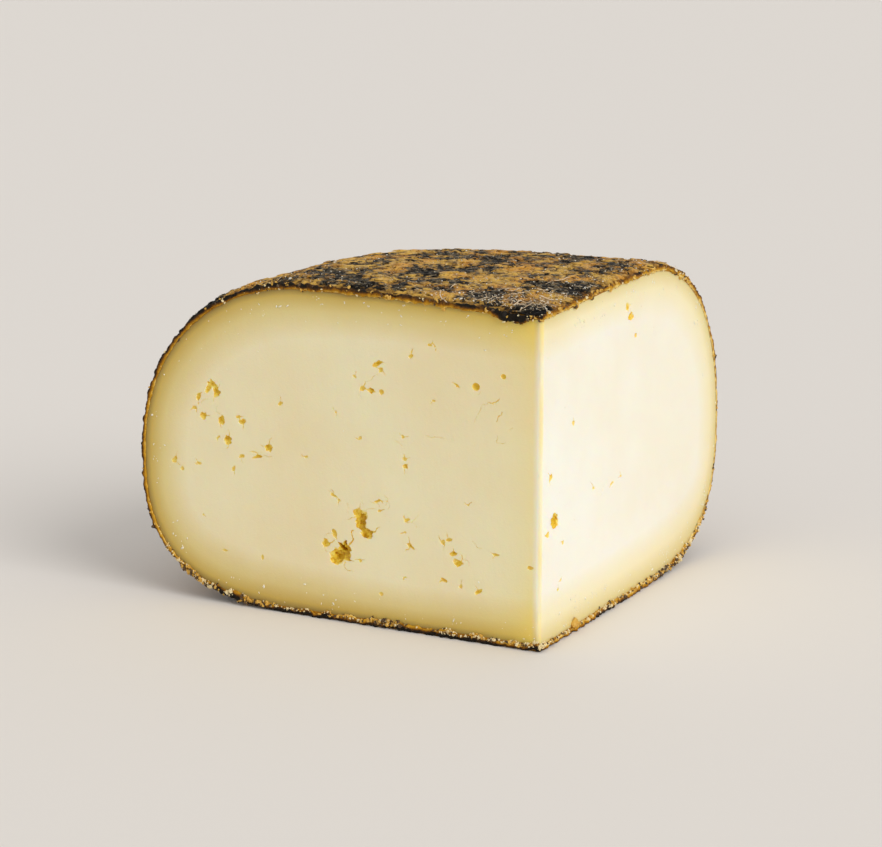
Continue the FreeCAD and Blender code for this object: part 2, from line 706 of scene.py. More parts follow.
@dataclass(frozen=True)
class RindFinish:
    """Dry rind: charcoal and ochre brown patches, seams and pits darkened as painted shade, and worn pale
    ridges.
    """

    charcoal: Colour = tint(19, 15, 9)
    slate: Colour = tint(46, 42, 32)
    umber: Colour = tint(98, 70, 30)
    ochre: Colour = tint(158, 120, 54)
    gold: Colour = tint(214, 171, 80)
    section: Colour = tint(172, 118, 30)
    rust: Colour = tint(255, 232, 208)
    chalk: Colour = tint(200, 178, 138)
    pit_shade: Colour = tint(70, 60, 52)
    slope_shade: Colour = tint(215, 208, 200)
    speck: Colour = tint(104, 88, 70)
    smooth: Colour = (0.42, 0.42, 0.42, 1.0)
    rough: Colour = (0.70, 0.70, 0.70, 1.0)

    def make(self) -> bpy.types.Material:
        """Build the material.

        Returns:
            It, reading the attributes depth, relief and brownness.
        """
        sheet = NodeSheet("rind_skin")
        relief = sheet.attribute("relief")
        fine = sheet.noise(560, 6, 0.7)
        scales = sheet.noise(900, 4, 0.7)
        patches = sheet.maths("SUBTRACT", sheet.noise(95, 7, 0.66), 0.30)
        patch = sheet.maths("SUBTRACT", sheet.total((patches, 2.1), (fine, 0.6)), 0.29)
        patch = sheet.total((patch, 1.0), (sheet.attribute("brownness"), 0.30))
        tone = sheet.ramp(patch, (0.38, self.charcoal), (0.48, self.slate), (0.52, self.umber),
                          (0.58, self.ochre), (0.78, self.gold))
        # Painted shade: seams between the plates and fine pits are darkened.
        cavity_shade = sheet.total((relief, 0.62), (scales, 0.5))
        for factor, *stops in ((cavity_shade, (0.34, self.pit_shade), (0.52, self.slope_shade), (0.70, WHITE)),
                               (sheet.noise(1100, 3, 0.7), (0.35, self.speck), (0.43, WHITE)),
                               (sheet.noise(130, 4, 0.6), (0.44, WHITE), (0.60, self.rust))):
            tone = sheet.stain(tone, sheet.ramp(factor, *stops))
        worn = sheet.ramp(sheet.maths("MULTIPLY", sheet.noise(700, 3, 0.75), relief),
                          (0.40, BLACK), (0.50, WHITE))
        tone = sheet.mix(sheet.maths("MULTIPLY", worn, 0.35), tone, self.chalk)
        cut = sheet.ramp(sheet.attribute("depth"), (0.05, BLACK), (0.45, WHITE))
        sheet.colour(sheet.mix(cut, tone, self.section))
        sheet.set(Specular_IOR_Level=0.10)
        sheet.link(sheet.ramp(scales, (0.3, self.smooth), (0.7, self.rough)),
                   sheet.shader.inputs["Roughness"])
        sheet.bump((fine, 0.35 * MM), (scales, 0.22 * MM))
        return sheet.material


@dataclass(frozen=True)
class RimFinish:
    """Broken edge of the rind: near black outside, amber and gold towards the paste."""

    soot: Colour = tint(26, 20, 12)
    bark: Colour = tint(84, 52, 14)
    amber: Colour = tint(152, 99, 12)
    gold: Colour = tint(204, 154, 38)
    cream: Colour = tint(234, 204, 122)

    def make(self) -> bpy.types.Material:
        """Build the material.

        Returns:
            It, reading the attributes depth and char.
        """
        sheet = NodeSheet("rind_rim")
        depth = sheet.total((sheet.attribute("depth"), 0.55), (sheet.noise(620, 5, 0.75), 0.7))
        depth = sheet.maths("SUBTRACT", depth, sheet.maths("MULTIPLY", sheet.attribute("char"), 0.35))
        tone = sheet.ramp(depth, (0.42, self.soot), (0.56, self.bark), (0.68, self.amber),
                          (0.90, self.gold), (1.0, self.cream))
        sheet.colour(tone)
        sheet.set(Roughness=0.5, Specular_IOR_Level=0.14)
        sheet.bump((sheet.noise(2600, 3, 0.7), 0.12 * MM))
        return sheet.material


@dataclass(frozen=True)
class PlainFinish:
    """Finish of small loose things: two close tones mixed by fine noise."""

    name: str
    first: tuple
    second: tuple
    roughness: float = 0.6

    def make(self) -> bpy.types.Material:
        """Build the material.

        Returns:
            It, reading no attributes.
        """
        sheet = NodeSheet(self.name)
        mottle = sheet.noise(1500, 3, 0.7)
        sheet.colour(sheet.ramp(mottle, (0.35, self.first), (0.65, self.second)))
        sheet.set(Roughness=self.roughness, Specular_IOR_Level=0.35)
        sheet.bump((mottle, 0.08 * MM))
        return sheet.material


# --- pieces -----------------------------------------------------------------------------
def settle_piece(obj: Piece, material: bpy.types.Material,
                 crease: float = NO_CREASE) -> Piece:
    """Smooth and dress a finished piece and put it on the frame's body.

    Args:
        obj: the piece.
        material: its finish.
        crease: the angle in degrees past which an edge stays sharp.

    Returns:
        The piece.
    """
    make_active(obj)
    bpy.ops.object.shade_smooth_by_angle(angle=math.radians(crease))
    obj.data.materials.clear()
    obj.data.materials.append(material)
    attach(obj, ROOT)
    LOG.info("%s: %d vertices, %d faces", obj.name, len(obj.data.vertices), len(obj.data.polygons))
    return obj


def scatter_copies(seed_piece: Piece, name: str, places: Iterable[np.ndarray],
                   sizes: Iterable[np.ndarray], turns: Iterable[np.ndarray] | None = None
                   ) -> Piece:
    """Copy one small piece many times into a single mesh.

    Args:
        seed_piece: the piece to copy, which is removed.
        name: the new object's name.
        places: the copies' places.
        sizes: the copies' sizes along their own axes.
        turns: 3 by 3 rotations, or None to leave the copies unturned.

    Returns:
        The object that holds every copy.
    """
    places, sizes = np.array(list(places)), np.array(list(sizes))
    base = points_of(seed_piece)
    faces = np.array([face.vertices[:] for face in seed_piece.data.polygons])
    copies = base[None] * sizes[:, None, :]
    if turns is not None:
        copies = np.einsum("nij,nkj->nki", np.array(list(turns)), copies)
    copies += places[:, None, :]
    offsets = np.arange(len(places))[:, None, None] * len(base)
    mesh = bpy.data.meshes.new(name)
    mesh.from_pydata(copies.reshape(-1, 3), [], (faces[None] + offsets).reshape(-1, faces.shape[1]).tolist())
    discard(seed_piece)
    obj = bpy.data.objects.new(name, mesh)
    bpy.context.collection.objects.link(obj)
    return obj


def turns_on(normals: np.ndarray, draw: np.random.Generator, tilt: float) -> np.ndarray:
    """Random turns that stand small pieces on a surface.

    Args:
        normals: the surface's normals.
        draw: where the chance comes from.
        tilt: how far the pieces lean.

    Returns:
        A 3 by 3 rotation for each normal.
    """
    up = normals + draw.normal(0, tilt, normals.shape)
    up /= np.linalg.norm(up, axis=1, keepdims=True)
    side = np.cross(up, draw.normal(0, 1, normals.shape))
    side /= np.linalg.norm(side, axis=1, keepdims=True)
    return np.stack([side, np.cross(up, side), up], axis=2)


@dataclass
class Ground:
    """The faces of a piece that loose things can lie on."""

    piece: Piece
    draw: np.random.Generator
    middles: np.ndarray = field(init=False)
    normals: np.ndarray = field(init=False)
    areas: np.ndarray = field(init=False)

    def __post_init__(self) -> None:
        """Read the piece's faces."""
        faces = self.piece.data.polygons
        self.middles = np.array([face.center[:] for face in faces])
        self.normals = np.array([face.normal[:] for face in faces])
        self.areas = np.array([face.area for face in faces])

    def pick(self, count: int, weights: np.ndarray, spread: float) -> tuple[np.ndarray, np.ndarray]:
        """Draw places on the piece.

        Args:
            count: how many.
            weights: how likely each face is, for each unit of its area.
            spread: how far a place may lie from its face's middle.

        Returns:
            The places and the normals there.
        """
        odds = weights * self.areas
        chosen = self.draw.choice(len(odds), count, p=odds / odds.sum())
        normals = self.normals[chosen]
        shift = self.draw.uniform(-spread, spread, (count, 3))
        shift -= normals * (shift * normals).sum(axis=1, keepdims=True)
        return self.middles[chosen] + shift, normals


@dataclass(frozen=True)
class Amounts:
    """An amount all along a rim, and what each of the rim's stretches adds to it."""

    base: float = 0.0
    tops: float = 0.0
    foot: float = 0.0
    nose: float = 0.0
    lip: float = 0.0
    back: float = 0.0


@dataclass
class RimZones:
    """How deep each point of a rim lies and how far it belongs to its stretches, from 0 to 1."""

    depth: np.ndarray
    tops: np.ndarray
    foot: np.ndarray
    nose: np.ndarray
    lip: np.ndarray
    back: np.ndarray

    def total(self, amounts: Amounts) -> np.ndarray:
        """Add up the base amount and each stretch's own.

        Args:
            amounts: what to add up.

        Returns:
            The sum at each point.
        """
        total = np.full(len(self.depth), amounts.base)
        for stretch in ("tops", "foot", "nose", "lip", "back"):
            total += getattr(amounts, stretch) * getattr(self, stretch)
        return total


PALENESS = {Cut.FRONT: Amounts(foot=0.12, lip=0.30),
            Cut.SIDE: Amounts(base=0.40, foot=-0.13, back=-0.34)}
CONTRAST = {Cut.FRONT: 1.6, Cut.SIDE: 1.0}


@dataclass
class Rind:
    """The dry skin, a closed shell that both cuts lay open, and its crumbly broken rim."""

    form: Cushion
    thickness: float = 1.4 * MM
    skin_voxel: float = 0.74 * MM
    lining_voxel: float = 2.4 * MM
    sink: float = 0.32 * MM
    sink_foot: float = 5 * MM
    sink_top: Span = (0.75, 0.95)
    calm_foot: float = 12 * MM
    calm_least: float = 0.35
    lump_height: float = 0.30 * MM
    lumps: Wobble = Wobble(12 * MM, 5.5, 2)
    plate: float = 2.6 * MM
    plate_rise: float = 0.20 * MM
    plate_seed: float = 7.3
    plate_sway: float = 0.9 * MM
    sways: Wobble = Wobble(5 * MM, 6.1, 2)
    seam_depth: float = 0.32 * MM
    seam_edges: Span = (0.03, 0.30)
    grain_height: float = 0.22 * MM
    grains: Wobble = Wobble(1.6 * MM, 8.2)
    mean_relief: float = 0.72
    rim_voxel: float = 0.25 * MM
    rim_wall: float = 0.7 * MM
    rim_tops: Span = (0.72, 0.93)
    rim_foot: float = 14 * MM
    nose_place: float = 7 * MM
    nose_width: float = 5 * MM
    lip_fade: Span = (50 * MM, 70 * MM)
    back_rise: Span = (60 * MM, 92 * MM)
    roughness: Amounts = Amounts(base=0.20 * MM, tops=0.22 * MM, foot=0.24 * MM, nose=0.55 * MM)
    crumbles: Wobble = Wobble(1.9 * MM, 2.2)
    bits: Wobble = Wobble(0.8 * MM, 9.0, 1)
    bits_share: float = 0.7
    drag: Amounts = Amounts(tops=-0.15 * MM, nose=1.5 * MM)
    drag_swing: Amounts = Amounts(tops=0.5 * MM)
    drags: Wobble = Wobble(4 * MM, 4.0, 2)
    lift_swing: Amounts = Amounts(foot=0.9 * MM)
    lifts: Wobble = Wobble(3 * MM, 17.0, 2)
    proud: Amounts = Amounts(tops=0.10 * MM, nose=0.35 * MM, back=-0.28 * MM)
    back_depth: Amounts = Amounts(base=1.0, back=0.3)
    char_even: Amounts = Amounts(tops=0.05, foot=0.1, nose=0.9)
    char_patchy: Amounts = Amounts(tops=0.6, foot=0.4)
    char_streaky: Amounts = Amounts(foot=1.1)
    patches: Wobble = Wobble(4 * MM, 15.0, 2)
    streaks: Wobble = Wobble(11 * MM, 23.0, 2)
    brown_reach: float = 3 * MM
    brown_from: float = 0.85
    dark_nose: float = 11 * MM

    def relief(self, points: np.ndarray) -> tuple[np.ndarray, np.ndarray]:
        """Height of the skin's lumps, cracked plates and grain.

        Args:
            points: the skin's vertices.

        Returns:
            The height at each point, and its finer share from 0 in a seam to 1 on a plate.
        """
        seams, rises = [], []
        for point in points + self.sways.at(points)[:, None] * self.plate_sway:
            gaps, middles = noise.voronoi(Vector(point) / self.plate)
            seams.append(gaps[1] - gaps[0])
            rises.append(noise.noise(middles[0] * self.plate_seed))
        seam = 1 - smooth_step(np.array(seams), *self.seam_edges)
        detail = self.plate_rise * np.array(rises) - self.seam_depth * seam
        detail += self.grain_height * self.grains.at(points)
        share = np.clip(self.mean_relief + detail / (2.2 * self.seam_depth), 0, 1)
        return self.lump_height * self.lumps.at(points) + detail, share

    def skin(self) -> Piece:
        """Model the outer surface.

        Returns:
            The skin, which runs past both cuts.
        """
        skin = self.form.uncut("rind", 0.0, self.skin_voxel)
        points = points_of(skin)
        height, share = self.relief(points)
        level = points[:, 2]
        calm = self.calm_least + (1 - self.calm_least) * smooth_step(level, 0.0, self.calm_foot)
        sunk = self.sink * smooth_step(level, 0.0, self.sink_foot)
        sunk *= 1 - smooth_step(level, *(part * self.form.high.z for part in self.sink_top))
        moved = points + normals_of(skin) * (height * calm - sunk)[:, None]
        moved[:, 2] = np.maximum(moved[:, 2], 0.0)
        put_points(skin, moved)
        # The finish darkens the skin where relief is low, as painted shade in the seams.
        put_attribute(skin, "relief", share)
        put_attribute(skin, "depth", np.zeros(len(points)))
        return skin

    def shell(self) -> Piece:
        """Line the skin and cut the shell along both planes.

        Returns:
            The closed shell of the quarter.
        """
        shell = self.skin()
        lining = self.form.uncut("lining", self.thickness, self.lining_voxel)
        put_attribute(lining, "relief", np.full(len(lining.data.vertices), 0.5))
        put_attribute(lining, "depth", np.ones(len(lining.data.vertices)))
        start_editing(lining)
        bpy.ops.mesh.flip_normals()
        stop_editing()
        join_into(shell, [lining])
        self.form.slice_to_quarter(shell)
        return shell

    def lift_rim(self, shell: Piece, cut: Cut) -> Piece:
        """Copy the rind's section off one cut and give it a wall of its own.

        Args:
            shell: the cut rind.
            cut: which of the two cuts.

        Returns:
            The rim, a smooth closed band.
        """
        facing = Vector(cut.value)
        level = self.form.cut_edge.dot(facing)
        start_editing_faces(shell, lambda face: face.normal.dot(facing) > FLAT
                            and abs(face.center.dot(facing) - level) < 10 * HAIR)
        bpy.ops.mesh.duplicate()
        bpy.ops.mesh.separate(type="SELECTED")
        stop_editing()
        rim = next(obj for obj in bpy.context.selected_objects if obj is not shell)
        rim.name = rim.data.name = f"rim_{cut.name.lower()}"
        finish_modifier(rim, "SOLIDIFY", thickness=self.rim_wall, offset=0.0)
        finish_modifier(rim, "REMESH", mode="VOXEL", voxel_size=self.rim_voxel)
        return rim

    def zones(self, points: np.ndarray, cut: Cut, outside: BVHTree) -> RimZones:
        """Sort a rim's points into its stretches.

        Args:
            points: the rim's vertices.
            cut: the cut that it lies on.
            outside: search tree of the skin.

        Returns:
            The shares. Only the front's rim has a nose, and only the side's has a back.
        """
        on_side = float(cut is Cut.SIDE)
        depth = np.clip(gap_to(outside, points) / self.thickness, 0, 1)
        from_edge = np.linalg.norm((points - np.array(self.form.cut_edge))[:, :2], axis=1)
        tops = smooth_step(points[:, 2], *(part * self.form.high.z for part in self.rim_tops))
        foot = 1 - smooth_step(points[:, 2], 0.0, self.rim_foot)
        nose = hill(from_edge, self.nose_place, self.nose_width) * tops * (1 - on_side)
        lip = tops * (1 - nose) * (1 - smooth_step(from_edge, *self.lip_fade))
        back = smooth_step(from_edge, *self.back_rise) * (1 - foot) * on_side
        return RimZones(depth, tops, foot, nose, lip, back)

    def break_rim(self, shell: Piece, cut: Cut, outside: BVHTree) -> Piece:
        """Lift one rim off the rind and roughen it into a broken edge, a little proud of the cut.

        Args:
            shell: the cut rind.
            cut: which of the two cuts.
            outside: search tree of the skin.

        Returns:
            The rim.
        """
        rim = self.lift_rim(shell, cut)
        points = points_of(rim)
        zone = self.zones(points, cut, outside)
        crumble = self.crumbles.at(points) + self.bits_share * self.bits.at(points)
        moved = points + normals_of(rim) * (zone.total(self.roughness) * crumble)[:, None]
        level = points * LEVEL
        drag = zone.total(self.drag) + zone.total(self.drag_swing) * self.drags.at(level)
        lift = zone.total(self.lift_swing) * self.lifts.at(level)
        moved[:, 2] += (lift - drag) * zone.depth
        moved += np.array(cut.value) * zone.total(self.proud)[:, None]
        moved[:, 2] = np.maximum(moved[:, 2], 0.0)
        put_points(rim, moved)
        shown = (zone.depth * zone.total(self.back_depth)) ** CONTRAST[cut]
        put_attribute(rim, "depth", shown + zone.total(PALENESS[cut]))
        char = zone.total(self.char_even) + zone.total(self.char_patchy) * self.patches.at(points)
        char += zone.total(self.char_streaky) * self.streaks.at(level)
        put_attribute(rim, "char", np.clip(char, 0, 1))
        return rim

    def build(self, outside: BVHTree) -> list[Piece]:
        """Model and dress the rind and both rims.

        Args:
            outside: search tree of the skin.

        Returns:
            The three pieces.
        """
        shell = self.shell()
        rims = [self.break_rim(shell, cut, outside) for cut in Cut]
        points = points_of(shell)
        lip = self.form.rim_share(points, self.brown_reach)
        lip *= points[:, 2] > self.brown_from * self.form.high.z
        put_attribute(shell, "brownness",
                      (0.5 + 0.5 * lip) * (1 - self.form.nose_share(points, self.dark_nose)))
        settle_piece(shell, RindFinish().make(), 60)
        finish = RimFinish().make()
        for rim in rims:
            settle_piece(rim, finish)
        return [shell, *rims]


@dataclass(frozen=True)
class Eye:
    """One hole in a cut, in millimetres from the cut edge and up from the base."""

    across: float
    up: float
    width: float
    tall: float
    tilt: float = 0.0
    ragged: float = 0.42
    deep: float = 0.38


@dataclass(frozen=True)
class Crack:
    """One fine crack in a cut: where it starts, which way it runs and how far, in millimetres."""

    across: float
    up: float
    heading: float
    length: float
    width: float = 1.0


FRONT_EYES = (
    Eye(45.6, 24.6, 2.6, 4.0, 25), Eye(44.4, 21.9, 3.4, 2.4, 20), Eye(46.6, 26.4, 1.8, 2.4, 10),
    Eye(51.2, 15.8, 4.2, 3.8, -20), Eye(49.8, 17.4, 2.8, 2.4, 30), Eye(52.8, 14.6, 2.2, 2.2),
    Eye(50.9, 17.7, 0.9, 2.6, -35, 0.3, 1.6), Eye(50.1, 18.9, 0.8, 1.6, 20, 0.3, 1.4),
    Eye(55.3, 18.4, 1.9, 1.8, 40), Eye(52.9, 20.9, 1.2, 2.2, -30),
    Eye(85.6, 53.0, 2.4, 1.4, 20), Eye(84.6, 51.3, 1.8, 2.6, -20), Eye(86.9, 51.8, 1.2, 2.2, 30),
    Eye(89.6, 49.6, 1.1, 1.9, 35), Eye(90.8, 46.9, 1.2, 0.9), Eye(88.4, 45.2, 1.8, 1.6, -30),
    Eye(83.2, 44.6, 1.8, 2.2, 10), Eye(78.7, 45.8, 1.1, 0.9), Eye(77.6, 44.8, 2.0, 1.2, -25),
    Eye(81.7, 39.9, 2.2, 1.9, 15), Eye(84.3, 40.4, 1.3, 0.6, -30), Eye(70.4, 39.3, 1.9, 1.8, -30),
    Eye(73.4, 36.8, 2.4, 0.8, -10), Eye(77.9, 36.5, 1.6, 0.8, -20), Eye(80.2, 33.4, 0.9, 1.5, 15),
    Eye(96.8, 33.6, 1.2, 1.7, 30), Eye(94.7, 31.7, 1.1, 1.1, 0, 0.2), Eye(90.0, 33.4, 1.4, 0.8),
    Eye(41.3, 61.9, 2.2, 1.1, -35), Eye(40.4, 60.6, 0.9, 1.3, 20), Eye(47.3, 58.4, 1.2, 0.7, 20),
    Eye(40.3, 55.5, 1.2, 1.2, 0, 0.25), Eye(43.0, 55.6, 1.7, 1.3, 10), Eye(45.2, 55.8, 1.4, 1.0, -20),
    Eye(32.7, 64.4, 1.3, 0.8, -20), Eye(27.9, 67.4, 1.1, 0.7, 20), Eye(26.6, 67.2, 0.7, 0.5),
    Eye(16.3, 59.0, 1.75, 1.65, 0, 0.06, 0.5), Eye(9.5, 61.9, 1.25, 1.15, 0, 0.06, 0.5),
    Eye(21.0, 58.8, 1.4, 0.6, 30), Eye(67.1, 50.2, 1.4, 0.8, -30), Eye(52.3, 49.7, 0.7, 0.7),
    Eye(34.2, 38.9, 1.4, 1.2, 10), Eye(34.4, 40.6, 1.1, 0.9), Eye(34.8, 45.7, 0.8, 0.9),
    Eye(46.0, 44.2, 1.2, 0.7, -40), Eye(60.3, 38.2, 1.1, 0.7, -30), Eye(53.0, 29.9, 1.6, 0.6, 10),
    Eye(51.6, 28.9, 0.8, 0.7), Eye(41.3, 30.0, 1.6, 0.6, -20), Eye(41.0, 27.7, 1.0, 0.6, -20),
    Eye(33.8, 26.4, 1.4, 0.9, -35), Eye(34.3, 23.4, 0.7, 0.6), Eye(32.9, 20.4, 2.2, 0.8, 25),
    Eye(24.6, 22.3, 1.1, 1.2, 30), Eye(23.1, 23.1, 1.5, 0.9, -15), Eye(22.0, 19.9, 1.9, 1.0, -20),
    Eye(20.6, 17.9, 2.0, 1.3, -10), Eye(21.4, 18.6, 1.0, 0.7), Eye(11.2, 21.1, 1.4, 0.7, 10),
    Eye(24.3, 13.5, 1.7, 0.8, 20), Eye(20.0, 12.5, 0.9, 0.9), Eye(15.5, 11.9, 2.0, 0.8, -30),
    Eye(2.6, 19.2, 1.5, 0.9, 0, 0.2), Eye(40.6, 8.0, 1.1, 0.95, 0, 0.1), Eye(46.1, 15.2, 0.8, 0.9),
    Eye(72.6, 12.6, 0.8, 1.3, 0, 0.2), Eye(83.1, 13.0, 1.0, 0.7), Eye(89.0, 21.0, 0.7, 0.6),
    Eye(34.4, 12.8, 0.9, 0.5), Eye(18.2, 31.7, 0.7, 0.6), Eye(26.9, 54.8, 0.9, 0.6),
)
SIDE_EYES = (
    Eye(7.2, 28.6, 3.7, 3.2, 8, 0.3, 0.26), Eye(4.9, 39.1, 1.6, 1.6, 20), Eye(3.6, 26.3, 1.4, 1.3),
    Eye(46.0, 71.2, 1.9, 1.9, 30, 0.4, 0.3), Eye(48.0, 68.6, 2.6, 2.0, -20, 0.4, 0.35),
    Eye(51.1, 63.7, 1.5, 1.0, 0, 0.3), Eye(16.6, 49.2, 1.4, 1.2, 30, 0.4, 0.3),
    Eye(11.6, 22.6, 1.0, 1.1, 20), Eye(10.6, 14.1, 0.9, 0.7), Eye(9.2, 12.2, 1.0, 0.9, 30),
    Eye(28.2, 31.6, 1.5, 0.6, 20, 0.4, 0.3), Eye(38.2, 30.5, 1.8, 0.7, -20, 0.4, 0.3),
    Eye(43.6, 31.2, 1.1, 0.6, 10, 0.4, 0.3),
)
FRONT_CRACKS = (
    Crack(44.4, 22.0, 10, 4.5, 1.6), Crack(45.0, 26.8, 40, 4.0), Crack(49.6, 17.6, 50, 6.0, 2.0),
    Crack(50.2, 28.6, -35, 4.0), Crack(41.0, 27.8, 70, 5.0), Crack(46.8, 57.6, -80, 6.0),
    Crack(40.5, 61.0, 205, 6.5), Crack(88.0, 51.0, 215, 5.0), Crack(83.0, 46.0, 100, 3.5),
    Crack(72.6, 37.0, 5, 4.0), Crack(71.8, 38.0, 165, 5.0), Crack(13.8, 57.0, -70, 9.0),
    Crack(11.0, 49.2, -30, 6.0), Crack(30.0, 46.0, -20, 9.0), Crack(35.0, 28.8, -50, 9.0),
    Crack(33.6, 43.5, 190, 5.0), Crack(20.0, 20.0, -60, 4.5), Crack(55.6, 19.6, 75, 4.0),
    Crack(33.0, 25.4, 60, 5.0), Crack(18.0, 24.0, -12, 6.0), Crack(42.8, 33.1, -40, 16.0, 0.8),
    Crack(30.6, 22.6, -15, 7.0, 0.8), Crack(14.8, 58.6, -72, 2.6), Crack(13.6, 56.0, -25, 4.0, 1.4),
    Crack(9.8, 54.2, -80, 3.4, 1.4), Crack(10.6, 56.4, -55, 4.0, 0.8), Crack(7.8, 52.0, -55, 4.0, 0.8),
    Crack(46.0, 31.4, -50, 6.0, 0.8), Crack(39.8, 32.0, -75, 4.0), Crack(86.4, 49.4, 190, 4.0),
)
SIDE_CRACKS = (Crack(30.0, 31.4, 10, 7.0), Crack(36.0, 32.0, -15, 6.0))
EYES = {Cut.FRONT: FRONT_EYES, Cut.SIDE: SIDE_EYES}
CRACKS = {Cut.FRONT: FRONT_CRACKS, Cut.SIDE: SIDE_CRACKS}


@dataclass
class Paste:
    """The cheese inside the rind: two knife-cut faces opened by ragged eyes and fine cracks."""

    form: Cushion
    inset: float = 1.2 * MM
    body_voxel: float = 2.2 * MM
    margin: float = 6 * MM
    edge_round: float = 1.0 * MM
    wave: float = 0.14 * MM
    waves: Wobble = Wobble(26 * MM, 12.0, 2)
    eye_voxel: float = 0.13 * MM
    eye_swell: float = 1.15
    lobe_span: float = 0.9
    lobe_share: float = 1.1
    tooth_span: float = 0.34
    tooth_share: float = 0.9
    ragged_bias: float = 0.1
    eye_seed: float = 3.7
    tail_from: float = 0.3
    tail_length: Span = (0.7, 1.6)
    tail_width: float = 1.25
    crack_half_width: float = 0.12 * MM
    crack_depth: float = 0.22 * MM
    crack_step: float = 0.2
    crack_memory: float = 0.9
    crack_kink: float = 0.36
    gap_span: float = 12.0 * MM
    foot_zone: Span = (2 * MM, 24 * MM)
    shade_zone: Span = (8 * MM, 42 * MM)
    side_foot: float = 0.66
    front_foot: float = 0.08
    near_foot: float = 0.30
    near_reach: float = 20 * MM
    far_more: float = 0.3
    far_zone: Span = (0.5, 1.7)
    eye_brink: float = 0.04 * MM
    depth_span: float = 1.7 * MM
    turn_zone: Span = (-2.0, -0.5)
    glow_zone: Span = (0.8 * MM, 2.0 * MM)
    glow_reach: float = 5.5 * MM
    glow_top: Span = (0.78, 0.98)
    glow_top_more: float = 1.3
    glow_even: float = 0.38
    glow_ends: float = 0.56
    ends_zone: Span = (0.2, 0.5)

    def block(self) -> Piece:
        """Model the knife's block: a cube whose two cut faces have a fine, gently wavy grid.

        Returns:
            The block, larger than the form on its other sides.
        """
        low = Vector((self.form.low.x - self.margin, self.form.cut_edge.y, -self.margin))
        high = Vector((self.form.cut_edge.x, self.form.high.y + self.margin,
                       self.form.high.z + self.margin))
        deselect_all()
        bpy.ops.mesh.primitive_cube_add(size=1, location=(low + high) / 2, scale=high - low)
        block = take_new("block")
        start_editing_faces(
            block, lambda face: any(face.normal.dot(Vector(cut.value)) > FLAT for cut in Cut))
        for _ in range(2):
            bpy.ops.mesh.subdivide(number_cuts=9)
        bpy.ops.mesh.select_mode(type="EDGE")
        bpy.ops.mesh.select_all(action="DESELECT")
        stop_editing()
        for edge in block.data.edges:
            ends = [block.data.vertices[index].co for index in edge.vertices]
            edge.select = all((end - self.form.cut_edge).xy.length < HAIR for end in ends)
        bpy.ops.object.mode_set(mode="EDIT")
        bpy.ops.mesh.bevel(offset=self.edge_round, segments=3, profile=0.5)
        stop_editing()
        points = points_of(block)
        for cut in Cut:
            on_cut = self.form.behind(cut, points) < HAIR
            points -= np.where(on_cut, self.sway(points, cut), 0)[:, None] * np.array(cut.value)
        put_points(block, points)
        return block

    def sway(self, points: np.ndarray, cut: Cut) -> np.ndarray:
        """How far the knife wandered into the paste at one cut, level with each point."""
        level = points + self.form.behind(cut, points)[:, None] * np.array(cut.value)
        return self.wave * np.abs(self.waves.at(level))

    def blob(self, place: Vector, cut: Cut, eye: Eye, seed: float) -> Piece:
        """Model one eye's hollow: a sphere with a ragged skin, pushed into the cut.

        Args:
            place: where the eye opens.
            cut: the cut that it is in.
            eye: its sizes.
            seed: shifts its raggedness.

        Returns:
            The hollow as a solid.
        """
        deselect_all()
        bpy.ops.mesh.primitive_ico_sphere_add(subdivisions=4, radius=1)
        hollow = take_new("hollow")
        points = points_of(hollow)
        lobes = self.lobe_share * Wobble(self.lobe_span, seed, 2).at(points)
        teeth = self.tooth_share * Wobble(self.tooth_span, seed, 2).at(points)
        points *= (1 + eye.ragged * (lobes + teeth - self.ragged_bias))[:, None]
        depth = eye.deep * (eye.width + eye.tall) / 2
        points *= np.array((eye.width * self.eye_swell / 2, depth, eye.tall * self.eye_swell / 2)) * MM
        turn = Euler((0, math.radians(eye.tilt), 0)).to_matrix()
        if cut is Cut.SIDE:
            turn = Matrix.Rotation(math.pi / 2, 3, "Z") @ turn
        put_points(hollow, points @ np.array(turn).T + np.array(place))
        return hollow

    def on_cut(self, cut: Cut, across: float, up: float) -> Vector:
        """Find the place on a cut that lies so many millimetres across and up."""
        along = Vector((-1, 0, 0)) if cut is Cut.FRONT else Vector((0, 1, 0))
        return self.form.cut_edge + along * (across * MM) + Vector((0, 0, up * MM))

    def crack_beads(self, cut: Cut, crack: Crack, seed: int) -> list[np.ndarray]:
        """Work out the beads that a crack is cut with, along a crooked line.

        Args:
            cut: the cut that it is in.
            crack: its start, heading and length.
            seed: makes it crooked in its own way.

        Returns:
            For each bead its place and its size.
        """
        draw = np.random.default_rng(seed)
        heading = math.radians(crack.heading)
        across, up, run, astray = crack.across, crack.up, 0.0, 0.0
        beads = []
        while run < crack.length:
            astray = self.crack_memory * astray + draw.normal(0, self.crack_kink)
            across -= self.crack_step * math.cos(heading + astray)
            up += self.crack_step * math.sin(heading + astray)
            run += self.crack_step
            thin = crack.width * (0.45 + 0.55 * math.sin(math.pi * min(run / crack.length, 1)) ** 0.6)
            beads.append(np.array((*self.on_cut(cut, across, up), thin * draw.uniform(0.75, 1.25))))
        return beads

    def tails(self, eyes: Iterable[Eye], draw: np.random.Generator) -> list[Crack]:
        """Work out the short cracks that run out of the ragged eyes.

        Args:
            eyes: the eyes of one cut.
            draw: where the chance comes from.

        Returns:
            One or two cracks for each ragged eye.
        """
        cracks = []
        for eye in eyes:
            if eye.ragged > self.tail_from:
                for _ in range(draw.integers(1, 3)):
                    length = draw.uniform(*self.tail_length) * (eye.width + eye.tall) / 2 + 0.6
                    cracks.append(Crack(eye.across, eye.up, draw.uniform(0, 360), length, self.tail_width))
        return cracks

